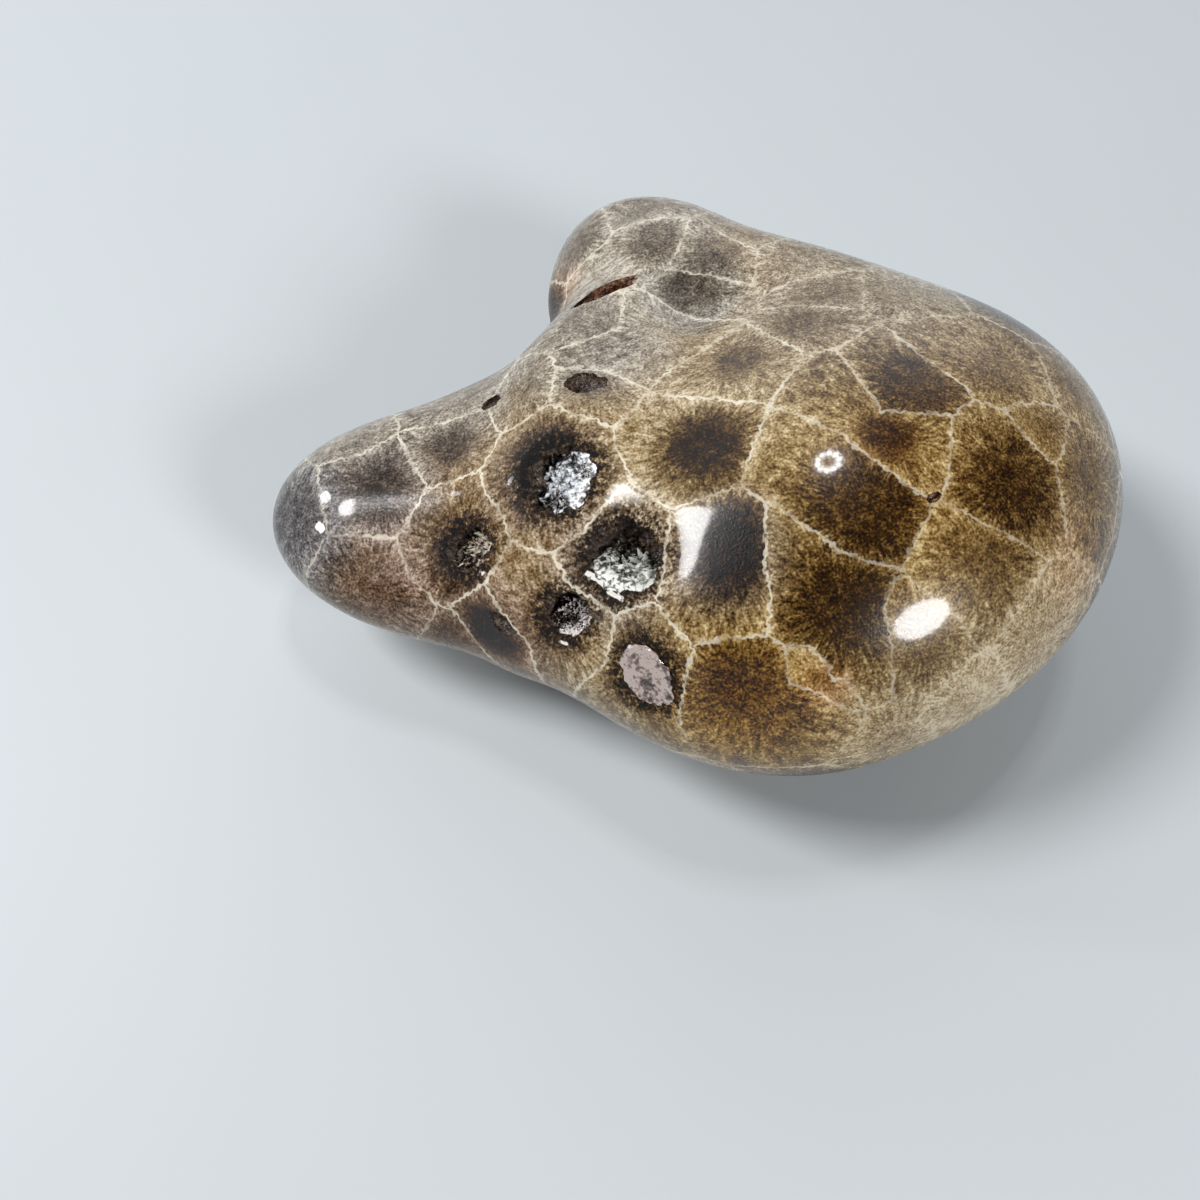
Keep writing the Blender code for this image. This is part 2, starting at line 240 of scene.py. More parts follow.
# Painted glints on vug rims and a painted reflection on the tip, as white slivers and flecks flush
# with the skin: the pixels of the photograph that one runs through, and its half-width in millimetres.
PAINTED_GLINTS = {
    "tip": (((319, 526), (321, 529)), 0.42),
    "middle_rim": (((587, 573), (599, 580), (611, 592), (622, 599)), 0.26),
    "side_rim": (((556, 640), (567, 644)), 0.16),
    "horn_rim": (((478, 574), (486, 571)), 0.18),
}
PAINTED_GLINT_WOBBLE = 0.35

# ---- Geometry helpers ----


def ellipsoid_distance(points, ellipsoid):
    """Nearly the distance from each point to the ellipsoid's surface, negative inside."""
    centre, half_axes, turn = ellipsoid
    cos_turn, sin_turn = math.cos(math.radians(turn)), math.sin(math.radians(turn))
    offset = points - np.array(centre)
    local = np.stack(
        [
            offset[:, 0] * cos_turn + offset[:, 1] * sin_turn,
            offset[:, 1] * cos_turn - offset[:, 0] * sin_turn,
            offset[:, 2],
        ],
        axis=1,
    )
    axes = np.array(half_axes)
    scaled = np.linalg.norm(local / axes, axis=1)
    steepness = np.linalg.norm(local / axes**2, axis=1)
    return scaled * (scaled - 1.0) / np.maximum(steepness, 1e-6)


def plain_form(points):
    """The blended masses: zero on their common surface, negative inside."""
    masses = np.stack([ellipsoid_distance(points, mass) for mass in MASSES.values()])
    return -BLEND * np.logaddexp.reduce(-masses / BLEND, axis=0)


def slope(form, points, step=0.05):
    """The gradient of a form at each point."""
    return np.stack(
        [(form(points + shift) - form(points - shift)) / (2 * step) for shift in np.eye(3) * step],
        axis=1,
    )


def surface_point(x, y):
    """The point of the upper surface over (x, y), and the outward normal there."""
    low, high = 10.0, 45.0
    while high - low > 0.001:
        middle = (low + high) / 2
        if plain_form(np.array([[x, y, middle]]))[0] < 0:
            low = middle
        else:
            high = middle
    point = np.array([[x, y, high]])
    normal = slope(plain_form, point)[0]
    return point[0], normal / np.linalg.norm(normal)


def dimple_balls():
    """The balls that press the dimples in: their centres and radii."""
    balls = []
    for x, y, radius, depth in DIMPLES.values():
        point, normal = surface_point(x, y)
        ball_radius = (radius**2 + depth**2) / (2 * depth)
        balls.append((point + normal * (ball_radius - depth), ball_radius))
    return balls


def dimpled_form(points, balls):
    """The blended masses with the dimples pressed in."""
    stone = plain_form(points)
    for centre, radius in balls:
        outside_ball = radius - np.linalg.norm(points - centre, axis=1)
        stone = DIMPLE_BLEND * np.logaddexp(stone / DIMPLE_BLEND, outside_ball / DIMPLE_BLEND)
    return stone


def settle(mesh, form, rounds=5):
    """Slides every vertex of the mesh along the form's slope onto its surface."""
    points = mesh_points(mesh) / MM
    for _ in range(rounds):
        gradient = slope(form, points)
        steep = np.maximum((gradient**2).sum(axis=1), 0.05)
        points -= gradient * (np.clip(form(points), -2.0, 2.0) / steep)[:, None]
    mesh.vertices.foreach_set("co", (points * MM).ravel())
    mesh.update()


def mesh_points(mesh):
    points = np.empty(len(mesh.vertices) * 3)
    mesh.vertices.foreach_get("co", points)
    return points.reshape(-1, 3)


def new_object(name, mesh):
    obj = bpy.data.objects.new(name, mesh)
    bpy.context.scene.collection.objects.link(obj)
    return obj


def object_from(name, bm):
    mesh = bpy.data.meshes.new(name)
    bm.to_mesh(mesh)
    bm.free()
    return new_object(name, mesh)


def apply_modifiers(obj):
    graph = bpy.context.evaluated_depsgraph_get()
    baked = bpy.data.meshes.new_from_object(obj.evaluated_get(graph))
    obj.modifiers.clear()
    obj.data = baked


def cut_flat(bm, height, outward):
    """Cuts off what lies beyond a level plane and closes the cut with one flat face."""
    cut = bmesh.ops.bisect_plane(
        bm,
        geom=[*bm.verts, *bm.edges, *bm.faces],
        plane_co=(0, 0, height * MM),
        plane_no=outward,
        clear_outer=True,
    )
    rim = [item for item in cut["geom_cut"] if isinstance(item, bmesh.types.BMEdge)]
    bmesh.ops.contextual_create(bm, geom=rim)
    bmesh.ops.recalc_face_normals(bm, faces=bm.faces)


# ---- The stone ----


def stone_skin():
    """The whole stone with its dimples, before the foot and the vugs are cut."""
    bm = bmesh.new()
    for centre, half_axes, turn in MASSES.values():
        place = (
            Matrix.Translation(Vector(centre) * MM)
            @ Matrix.Rotation(math.radians(turn), 4, "Z")
            @ Matrix.Diagonal((*(axis * MM for axis in half_axes), 1.0))
        )
        bmesh.ops.create_icosphere(bm, subdivisions=4, radius=1.0, matrix=place)
    stone = object_from("coral_stone", bm)
    balls = dimple_balls()
    for voxel in (SEED_VOXEL, SKIN_VOXEL):
        fuse = stone.modifiers.new("fuse", "REMESH")
        fuse.mode = "VOXEL"
        fuse.voxel_size = voxel * MM
        apply_modifiers(stone)
        settle(stone.data, lambda points: dimpled_form(points, balls))
    bm = bmesh.new()
    bm.from_mesh(stone.data)
    cut_flat(bm, FOOT_HEIGHT, (0, 0, -1))
    bmesh.ops.triangulate(bm, faces=bm.faces)
    bm.to_mesh(stone.data)
    bm.free()
    return stone


def vug_place(x, y, depth_below, turn):
    """The frame of a vug: on the surface, its Z axis along the outward normal."""
    point, normal = surface_point(x, y)
    up = Vector(normal)
    level_x = (Vector((1, 0, 0)) - up * up.x).normalized()
    along = Matrix.Rotation(math.radians(turn), 3, up) @ level_x
    frame_axes = Matrix((along, up.cross(along), up)).transposed().to_4x4()
    return Matrix.Translation(Vector(point - normal * depth_below) * MM) @ frame_axes


def dimple_depth(x, y):
    """How far the dimples have lowered the surface over (x, y), at most."""
    depths = [0.0]
    for centre_x, centre_y, radius, depth in DIMPLES.values():
        off_centre = math.hypot(x - centre_x, y - centre_y) / radius
        depths.append(depth * (1 - off_centre**2))
    return max(depths)


def craggy_ball(half_axes, subdivisions, seed):
    """A lumpy ellipsoid about the origin: the CAD cutter's lumps, with crags on them."""
    bm = bmesh.new()
    bmesh.ops.create_icosphere(bm, subdivisions=subdivisions, radius=1.0)
    for vertex in bm.verts:
        lump = 1 + VUG_ROUGHNESS * noise.noise(vertex.co * 1.7 + Vector((seed, 0, 0)))
        crag = CRAG_ROUGHNESS * noise.noise(vertex.co * 5.0 + Vector((seed, 5, 0)))
        crag += CRAG_ROUGHNESS * 0.6 * noise.noise(vertex.co * 13.0 + Vector((seed, 9, 0)))
        vertex.co = Vector(
            axis * MM * (lump + crag) * part for axis, part in zip(half_axes, vertex.co)
        )
    return bm


def cut_vugs(stone, vugs, subdivisions, wall_material):
    """Hollows the vugs out of the stone, with walls in a material of their own."""
    cutters = []
    for seed, (name, (x, y, half_length, half_width, depth, turn)) in enumerate(vugs.items()):
        bm = craggy_ball((half_length, half_width, depth), subdivisions, seed)
        bm.transform(vug_place(x, y, dimple_depth(x, y), turn))
        cutter = object_from(f"{name}_cutter", bm)
        cutter.data.materials.append(wall_material)
        hollow = stone.modifiers.new(name, "BOOLEAN")
        hollow.operation = "DIFFERENCE"
        hollow.material_mode = "TRANSFER"
        hollow.object = cutter
        cutters.append(cutter)
    apply_modifiers(stone)
    for cutter in cutters:
        bpy.data.objects.remove(cutter, do_unlink=True)


# ---- The cups on the stone ----


def camera_matrix():
    place = Matrix.Translation(Vector(CAMERA_PLACE) * MM)
    tilt = Matrix.Rotation(math.radians(CAMERA_TILT), 4, "X")
    return place @ tilt @ Matrix.Rotation(math.radians(CAMERA_ROLL), 4, "Z")


def seen_at(surface, x, y):
    """The point of the stone that the camera sees at a pixel of the photograph."""
    half = PHOTO_SIZE / 2
    ray = Vector(((x - half) / FOCAL_LENGTH_PX, (half - y) / FOCAL_LENGTH_PX, -1.0))
    camera = camera_matrix()
    point, _, _, _ = surface.ray_cast(camera.translation, camera.to_3x3() @ ray)
    if point is None:
        raise ValueError(f"pixel {x}, {y} is off the stone")
    return np.array(point) / MM


class Cups:
    """Every cup of the coral. A cup is the part of the stone nearest to its own sites."""

    def __init__(self, surface, points):
        sites, calices = [], []
        for index, (places, calice, paleness, ground) in enumerate(CUPS.values()):
            for x, y, reach in places:
                sites.append((*seen_at(surface, x, y), reach, index))
            calices.append((*seen_at(surface, *calice[:2]), *calice[2:], paleness, ground))
        draw = random.Random(UNSEEN_CUP_SEED)
        free = points
        for site in sites:
            free = free[np.linalg.norm(free - site[:3], axis=1) > UNSEEN_CUP_SPACING]
        while len(free):
            place = free[draw.randrange(len(free))]
            free = free[np.linalg.norm(free - place, axis=1) > UNSEEN_CUP_SPACING]
            sites.append((*place, 0.0, len(calices)))
            radius, darkness, ground = draw.uniform(3, 5), draw.uniform(0.2, 0.9), draw.random()
            calices.append((*place, radius, darkness, 0.7, 0.3 + 0.4 * ground))
        sites, calices = np.array(sites), np.array(calices)
        self.site, self.reach, self.cup_of_site = sites[:, :3], sites[:, 3], sites[:, 4].astype(int)
        self.calice, self.radius, self.darkness = calices[:, :3], calices[:, 3], calices[:, 4]
        self.paleness, self.ground = calices[:, 5], calices[:, 6]
        self.tag = np.array([draw.random() for _ in calices])
        facing = [surface.find_nearest(Vector(calice * MM))[1] for calice in self.calice]
        self.normal = np.array(facing)

    def distances(self, points):
        """From each point to each cup's nearest site, less its reach, and which site that is."""
        shift = [noise.noise_vector(Vector(point) / WALL_WANDER_LENGTH) for point in points]
        strayed = points + np.array(shift) * WALL_WANDER
        nearest = np.full((len(points), len(self.calice)), np.inf, np.float32)
        which = np.zeros(nearest.shape, np.int16)
        for index, (site, reach, cup) in enumerate(zip(self.site, self.reach, self.cup_of_site)):
            gap = np.linalg.norm(strayed - site, axis=1) - reach
            nearer = gap < nearest[:, cup]
            nearest[nearer, cup] = gap[nearer]
            which[nearer, cup] = index
        return nearest, which


def part_along_walls(points, triangles, kinds, distances):
    """Splits the triangles that a wall crosses, so that each lies in one cup.

    Gives the new points, triangles, their kinds and their cups.
    """
    owner = distances.argmin(axis=1)
    crossings = {}
    extra = []

    def crossing(a, b):
        key = (min(a, b), max(a, b))
        if key not in crossings:
            a, b = key
            at_a = distances[a, owner[a]] - distances[a, owner[b]]
            at_b = distances[b, owner[a]] - distances[b, owner[b]]
            share = min(max(at_a / (at_a - at_b), 0.02), 0.98)
            crossings[key] = len(points) + len(extra)
            extra.append(points[a] * (1 - share) + points[b] * share)
        return crossings[key]

    whole = (owner[triangles] == owner[triangles[:, :1]]).all(axis=1)
    new_triangles = [triangles[whole]]
    new_kinds = [kinds[whole]]
    new_owners = [owner[triangles[whole, 0]]]
    cut = []
    for (a, b, c), kind in zip(triangles[~whole].tolist(), kinds[~whole].tolist()):
        owners = owner[[a, b, c]]
        if len(set(owners.tolist())) == 2:
            while owner[b] != owner[c]:
                a, b, c = b, c, a
            ab, ac = crossing(a, b), crossing(a, c)
            cut += [(a, ab, ac, kind, owner[a]), (ab, b, c, kind, owner[b])]
            cut.append((ab, c, ac, kind, owner[b]))
        else:
            ab, bc, ca = crossing(a, b), crossing(b, c), crossing(c, a)
            middle = len(points) + len(extra)
            extra.append((extra[ab - len(points)] + extra[bc - len(points)] + extra[ca - len(points)]) / 3)
            for corner, before, after in ((a, ca, ab), (b, ab, bc), (c, bc, ca)):
                cut.append((corner, after, middle, kind, owner[corner]))
                cut.append((corner, middle, before, kind, owner[corner]))
    cut = np.array(cut, dtype=np.int64)
    return (
        np.vstack([points, np.array(extra)]),
        np.vstack([*new_triangles, cut[:, :3]]),
        np.concatenate([*new_kinds, cut[:, 3]]),
        np.concatenate([*new_owners, cut[:, 4]]),
    )


def unit(vectors):
    return vectors / np.maximum(np.linalg.norm(vectors, axis=1, keepdims=True), 1e-6)


def smooth_step(low, high, value):
    share = np.clip((value - low) / (high - low), 0.0, 1.0)
    return share * share * (3 - 2 * share)


def crumble(points, to_frame):
    """How crumbly the stone is at each point: 1 on the rim of a crusted vug, 0 away from it."""
    share = np.zeros(len(points))
    for x, y, half_length, half_width, _, turn in CRUSTED_VUGS.values():
        middle = (to_frame @ vug_place(x, y, dimple_depth(x, y), turn)).translation / MM
        away = np.linalg.norm(points - np.array(middle), axis=1) / (half_length + half_width) * 2
        share = np.maximum(share, 1 - smooth_step(1.0, 1.9, away))
    return share


def cup_layers(cups, points, triangles, owners, crumbly):
    """What the material needs at each face corner.

    "cup" is the place in the cup, in millimetres from its calice, and the cup's tag.
    "cell" is the distance to the wall, how much of the calice's darkness is left, and which
    side of the wall it is on.
    "look" is the ground tone, which the two cups at a wall share, the wall's paleness and
    how crumbly the stone is.
    """
    corners = triangles.ravel()
    owner = np.repeat(owners, 3)
    place = points[corners]
    distances, which = cups.distances(points)
    nearest = np.argpartition(distances, NEIGHBOURS, axis=1)[:, :NEIGHBOURS]
    away_from_own = unit(place - cups.site[which[corners, owner]])
    wall = np.full(len(corners), np.inf)
    beyond = owner.copy()
    for rank in range(NEIGHBOURS):
        other = nearest[corners, rank]
        away_from_other = unit(place - cups.site[which[corners, other]])
        turn = np.linalg.norm(away_from_other - away_from_own, axis=1)
        gap = distances[corners, other] - distances[corners, owner]
        gap = np.where(other == owner, np.inf, gap / np.maximum(turn, 0.3))
        nearer = gap < wall
        wall[nearer] = gap[nearer]
        beyond[nearer] = other[nearer]
    wall = np.maximum(wall, 0.0)

    outward = cups.normal[owner]
    level_x = unit(np.array([1.0, 0.0, 0.0]) - outward * outward[:, :1])
    level_y = np.cross(outward, level_x)
    offset = place - cups.calice[owner]
    cup = np.stack(
        [(offset * level_x).sum(axis=1), (offset * level_y).sum(axis=1), cups.tag[owner]], axis=1
    )
    away = np.linalg.norm(offset, axis=1) / cups.radius[owner]
    calice = cups.darkness[owner] * (1 - smooth_step(0.3, 1.3, away))
    paleness = (cups.paleness[owner] + cups.paleness[beyond]) / 2
    side = np.where(owner < beyond, 1.0, -1.0)
    cell = np.stack([wall, calice, side], axis=1)
    shared = 0.5 * (1 - smooth_step(0.0, 2.5, wall))
    ground = cups.ground[owner] * (1 - shared) + cups.ground[beyond] * shared
    look = np.stack([ground, paleness, crumbly[corners]], axis=1)
    return {"cup": cup, "cell": cell, "look": look}


def stains_and_sheen(surface, points):
    """What the stains and the painted blue sheen do to red, green and blue at each point."""
    tint = np.ones((len(points), 3))
    for x, y, radius, change in STAINS_AND_SHEEN.values():
        away = np.linalg.norm(points - seen_at(surface, x, y), axis=1) / radius
        share = (1 - smooth_step(0.2, 1.2, away))[:, None]
        tint *= 1 + (np.array(change) - 1) * share
    return tint


def spots(surface, points, table, inner):
    """How strong the strongest spot of a table is at each point."""
    share = np.zeros(len(points))
    for x, y, radius, strength in table.values():
        away = np.linalg.norm(points - seen_at(surface, x, y), axis=1) / radius
        share = np.maximum(share, strength * (1 - smooth_step(inner, 2 - inner, away)))
    return share


def painted_glint_distance(surface, points):
    """How far each point is from the edge of the nearest painted glint, negative inside it."""
    nearest = np.full(len(points), 2.0)
    for pixels, half_width in PAINTED_GLINTS.values():
        line = [seen_at(surface, x, y) for x, y in pixels]
        for start, end in zip(line, line[1:]):
            along = end - start
            share = np.clip((points - start) @ along / (along @ along), 0.0, 1.0)
            away = np.linalg.norm(points - start - share[:, None] * along, axis=1)
            nearest = np.minimum(nearest, away - half_width)
    return nearest


def finish_glint_and_sheen_of(surface, points):
    """At each point: how dull the polish is, how far the nearest painted glint is and how grey it is,
    partly painted sheen.
    """
    dull = spots(surface, points, DULL_SPOTS, 0.85)
    grey = spots(surface, points, GREY_AND_SHEEN_SPOTS, 0.6)
    return np.stack([dull, painted_glint_distance(surface, points), grey], axis=1)


def dress_mesh(name, points, triangles, kinds, materials, layers):
    """A mesh of the triangles, smooth but for the rims between two materials."""
    mesh = bpy.data.meshes.new(name)
    mesh.vertices.add(len(points))
    mesh.vertices.foreach_set("co", (points * MM).ravel())
    mesh.loops.add(len(triangles) * 3)
    mesh.loops.foreach_set("vertex_index", triangles.ravel().astype(np.int32))
    mesh.polygons.add(len(triangles))
    mesh.polygons.foreach_set("loop_start", np.arange(0, len(triangles) * 3, 3, dtype=np.int32))
    mesh.polygons.foreach_set("material_index", kinds.astype(np.int32))
    mesh.update(calc_edges=True)
    for material in materials:
        mesh.materials.append(material)
    for layer_name, values in layers.items():
        domain = "POINT" if len(values) == len(points) else "CORNER"
        layer = mesh.attributes.new(layer_name, "FLOAT_VECTOR", domain)
        layer.data.foreach_set("vector", values.astype(np.float32).ravel())
    mesh.validate()
    mesh.shade_smooth()
    bm = bmesh.new()
    bm.from_mesh(mesh)
    for edge in bm.edges:
        if len({face.material_index for face in edge.link_faces}) > 1:
            edge.smooth = False
    bm.to_mesh(mesh)
    bm.free()
    return mesh


def mesh_triangles(mesh):
    """The corners of each triangle, and the material that it has."""
    mesh.calc_loop_triangles()
    triangles = np.empty(len(mesh.loop_triangles) * 3, np.int32)
    mesh.loop_triangles.foreach_get("vertices", triangles)
    polygons = np.empty(len(mesh.loop_triangles), np.int32)
    mesh.loop_triangles.foreach_get("polygon_index", polygons)
    kinds = np.empty(len(mesh.polygons), np.int32)
    mesh.polygons.foreach_get("material_index", kinds)
    return triangles.reshape(-1, 3).astype(np.int64), kinds[polygons]


def frame_shift(mesh):
    """From the form's own place to the CAD stone's: centred over it, foot to foot."""
    points = mesh_points(mesh)
    low, high = points.min(axis=0), points.max(axis=0)
    shift = np.array((STONE_LOW + STONE_HIGH) / 2) - (low + high) / 2
    shift[2] = STONE_LOW.z - low[2]
    return Matrix.Translation(shift)


def build_stone():
    """The stone, and the shift from the form's own place to the CAD frame."""
    polished = stone_shader()
    dark = vug_shader("vug_wall", *VUG_COLOURS)
    rusty = vug_shader("rusty_wall", *RUSTY_COLOURS)
    stone = stone_skin()
    stone.data.materials.append(polished)
    to_frame = frame_shift(stone.data)
    whole = stone.data.copy()
    whole.transform(to_frame)
    surface = BVHTree.FromPolygons(mesh_points(whole).tolist(), mesh_triangles(whole)[0].tolist())
    cups = Cups(surface, mesh_points(whole) / MM)

    cut_vugs(stone, CRUSTED_VUGS, 5, dark)
    cut_vugs(stone, BARE_VUGS, 4, dark)
    cut_vugs(stone, RUSTY_VUGS, 4, rusty)
    stone.data.transform(to_frame)
    points = mesh_points(stone.data) / MM
    triangles, kinds = mesh_triangles(stone.data)
    distances, _ = cups.distances(points)
    points, triangles, kinds, owners = part_along_walls(points, triangles, kinds, distances)
    layers = cup_layers(cups, points, triangles, owners, crumble(points, to_frame))
    layers["stain_and_sheen"] = stains_and_sheen(surface, points)
    # Dull polish, painted glints, and grey that is partly painted sheen.
    layers["finish_glint_and_sheen"] = finish_glint_and_sheen_of(surface, points)
    materials = (polished, dark, rusty)
    stone.data = dress_mesh("coral_stone", points, triangles, kinds, materials, layers)
    return stone, to_frame


# ---- Materials ----


class Shader:
    """A procedural material, put together node by node. Lengths in it are millimetres."""

    def __init__(self, name):
        self.material = bpy.data.materials.new(name)
        self.material.use_nodes = True
        self.tree = self.material.node_tree
        self.surface = self.tree.nodes["Principled BSDF"]
        coordinates = self.tree.nodes.new("ShaderNodeTexCoord")
        self.place = self.vector("SCALE", coordinates.outputs["Object"], scale=1 / MM)

    def feed(self, socket, value):
        if isinstance(value, bpy.types.NodeSocket):
            self.tree.links.new(value, socket)
        else:
            socket.default_value = value

    def set(self, **values):
        for name, value in values.items():
            self.feed(self.surface.inputs[name.replace("_", " ")], value)

    def math(self, operation, *values):
        node = self.tree.nodes.new("ShaderNodeMath")
        node.operation = operation
        for socket, value in zip(node.inputs, values):
            self.feed(socket, value)
        return node.outputs[0]

    def vector(self, operation, *values, scale=None):
        node = self.tree.nodes.new("ShaderNodeVectorMath")
        node.operation = operation
        for socket, value in zip(node.inputs, values):
            self.feed(socket, value)
        if scale is not None:
            self.feed(node.inputs["Scale"], scale)
        return node.outputs["Value" if operation in ("LENGTH", "DOT_PRODUCT") else "Vector"]

    def attribute(self, name):
        node = self.tree.nodes.new("ShaderNodeAttribute")
        node.attribute_name = name
        return node.outputs["Vector"]

    def split(self, vector):
        node = self.tree.nodes.new("ShaderNodeSeparateXYZ")
        self.feed(node.inputs[0], vector)
        return node.outputs

    def join(self, x, y, z):
        node = self.tree.nodes.new("ShaderNodeCombineXYZ")
        for socket, value in zip(node.inputs, (x, y, z)):
            self.feed(socket, value)
        return node.outputs[0]

    def noise(self, size, detail=2.0, roughness=0.5, place=None):
        """Noise about 0.5, with features of the given size."""
        node = self.tree.nodes.new("ShaderNodeTexNoise")
        self.feed(node.inputs["Vector"], self.place if place is None else place)
        node.inputs["Scale"].default_value = 1 / size
        node.inputs["Detail"].default_value = detail
        node.inputs["Roughness"].default_value = roughness
        return node.outputs["Fac"]

    def wave(self, *size, **details):
        """Noise about 0, mostly within 0.25 of it."""
        return self.math("SUBTRACT", self.noise(*size, **details), 0.5)

    def step(self, value, low, high, start=0.0, end=1.0):
        """Rises smoothly from start to end as the value goes from low to high."""
        node = self.tree.nodes.new("ShaderNodeMapRange")
        node.interpolation_type = "SMOOTHSTEP"
        for socket, part in zip(node.inputs, (value, low, high, start, end)):
            self.feed(socket, part)
        return node.outputs[0]

    def ramp(self, value, colours):
        """The colours in turn as the value goes from 0 to 1."""
        node = self.tree.nodes.new("ShaderNodeValToRGB")
        stops = node.color_ramp.elements
        for index in range(1, len(colours) - 1):
            stops.new(index / (len(colours) - 1))
        for stop, shade in zip(stops, colours):
            stop.color = shade
        self.feed(node.inputs[0], value)
        return node.outputs[0]

    def mix(self, share, first, second, blend="MIX"):
        node = self.tree.nodes.new("ShaderNodeMix")
        node.data_type = "RGBA"
        node.blend_type = blend
        node.clamp_factor = True
        self.feed(node.inputs[0], share)
        self.feed(node.inputs[6], first)
        self.feed(node.inputs[7], second)
        return node.outputs[2]

    def grey(self, shade):
        node = self.tree.nodes.new("ShaderNodeRGBToBW")
        self.feed(node.inputs[0], shade)
        return node.outputs[0]

    def bump(self, height, distance, strength=1.0, below=None):
        node = self.tree.nodes.new("ShaderNodeBump")
        node.inputs["Strength"].default_value = strength
        node.inputs["Distance"].default_value = distance * MM
        self.feed(node.inputs["Height"], height)
        if below is not None:
            self.feed(node.inputs["Normal"], below)
        return node.outputs[0]


def colour(red, green, blue):
    """A colour given as it is seen on a screen, from 0 to 255."""
    return (*((part / 255) ** 2.2 for part in (red, green, blue)), 1.0)


# The stone from its darkest to its palest.
TONES = (
    colour(14, 7, 3),
    colour(54, 36, 14),
    colour(103, 81, 47),
    colour(152, 132, 97),
    colour(198, 183, 154),
)
WALL = colour(222, 213, 192)
# The white of the painted glints and of the painted reflection on the tip.
PAINTED_GLINT_WHITE = colour(234, 228, 222)
# Vug walls: near-black at the darkest, partly the stone's own dark wall and partly painted shade of the
# hollow.
VUG_COLOURS = (colour(14, 9, 8), colour(40, 27, 20), colour(84, 66, 50), colour(136, 118, 98))
RUSTY_COLOURS = (colour(16, 8, 6), colour(72, 38, 24), colour(134, 90, 58), colour(196, 166, 126))


def stone_shader():
    """Polished coral: ground, septa, calices and walls, cup by cup."""
    shader = Shader("polished_coral")
    local_x, local_y, tag = shader.split(shader.attribute("cup"))[:3]
    wall, calice, side = shader.split(shader.attribute("cell"))[:3]
    ground, paleness, crumbly = shader.split(shader.attribute("look"))[:3]
    # Dull polish, painted glints, and grey that is partly painted sheen.
    dull, painted_glint, grey = shader.split(shader.attribute("finish_glint_and_sheen"))[:3]

    # Septa: blades that radiate from the calice, a little bent and uneven.
    radius = shader.vector("LENGTH", shader.join(local_x, local_y, 0.0))
    bend = shader.wave(1.6)
    heading = shader.vector("NORMALIZE", shader.join(local_x, local_y, 0.0))
    heading = shader.vector("SCALE", heading, scale=SEPTA / 6.28)
    along = shader.math("MULTIPLY_ADD", radius, 0.55, shader.math("MULTIPLY", tag, 40.0))
    place = shader.vector("ADD", heading, shader.join(bend, bend, along))
    blades = shader.wave(0.7, detail=3.0, roughness=0.6, place=place)
    blades = shader.math("MULTIPLY", blades, shader.step(radius, 1.2, 4.2))

    # The tone of the stone, from 0 dark to 1 pale.
    mottle = shader.wave(0.9, detail=3.0, roughness=0.7)
    grain = shader.wave(0.22, detail=2.0)
    tone = shader.math("MULTIPLY_ADD", shader.wave(6.0, detail=2.0), 0.35, ground)
    tone = shader.math("MULTIPLY_ADD", mottle, 0.75, tone)
    tone = shader.math("MULTIPLY_ADD", blades, 1.05, tone)
    tone = shader.math("MULTIPLY_ADD", grain, 1.10, tone)
    tone = shader.math("MULTIPLY_ADD", calice, -0.60, shader.math("SUBTRACT", tone, 0.03))
    crags = shader.wave(0.45, detail=3.0, roughness=0.7)
    shards = shader.math("MULTIPLY_ADD", crags, 2.6, -0.22)
    tone = shader.math("MULTIPLY_ADD", shards, crumbly, tone)
    tone = shader.math("ADD", tone, shader.step(wall, 1.5, 0.0, 0.0, 0.08))
    skin = shader.ramp(tone, TONES)

    # Walls: thin, pale and zigzag, with teeth where the septa meet them.
    zigzag = shader.math("MULTIPLY", shader.wave(0.55, detail=1.0), 0.9)
    ahead = shader.math("ABSOLUTE", shader.math("ADD", wall, zigzag))
    behind = shader.math("ABSOLUTE", shader.math("SUBTRACT", wall, zigzag))
    ahead_side = shader.math("GREATER_THAN", side, 0.0)
    line = shader.math("MULTIPLY", ahead_side, shader.math("SUBTRACT", ahead, behind))
    line = shader.math("ADD", line, behind)
    teeth = shader.math("MULTIPLY", shader.step(wall, 0.9, 0.1), shader.step(blades, 0.04, 0.2))
    teeth = shader.math("MULTIPLY", teeth, 0.5)
    edge = shader.math("MAXIMUM", shader.step(line, 0.21, 0.05), teeth)
    edge = shader.math("MULTIPLY", edge, shader.step(shader.wave(2.6), -0.16, 0.08, 0.3, 1.0))
    # Grey spots: partly the stone's own grey, partly painted sheen of the bright backdrop.
    skin = shader.mix(grey, skin, shader.grey(skin))
    # Stains, and on the tip and horn end a blue tint that is partly painted sheen.
    skin = shader.mix(1.0, skin, shader.attribute("stain_and_sheen"), blend="MULTIPLY")
    skin = shader.mix(shader.math("MULTIPLY", edge, paleness), skin, WALL)

    # Painted glints: white slivers and flecks mixed into the colour on vug rims and the tip.
    painted_glint = shader.math("MULTIPLY_ADD", shader.wave(0.5), PAINTED_GLINT_WOBBLE, painted_glint)
    skin = shader.mix(shader.step(painted_glint, 0.05, -0.05), skin, PAINTED_GLINT_WHITE)

    shader.set(Base_Color=skin)
    gloss = shader.step(grain, -0.2, 0.2, 0.36, 0.24)
    shader.set(Roughness=shader.math("MULTIPLY_ADD", crumbly, 0.3, gloss))
    coat = shader.math("MULTIPLY", shader.step(crumbly, 0.8, 0.0, 0.0, 0.55), shader.step(dull, 1.0, 0.0))
    shader.set(Coat_Weight=coat, Coat_Roughness=0.08)
    polish = shader.bump(grain, 0.03, 0.6)
    rough = shader.math("MULTIPLY", crags, crumbly)
    shader.set(IOR=1.5, Specular_IOR_Level=0.2, Normal=shader.bump(rough, 0.5, 1.0, polish))
    return shader.material


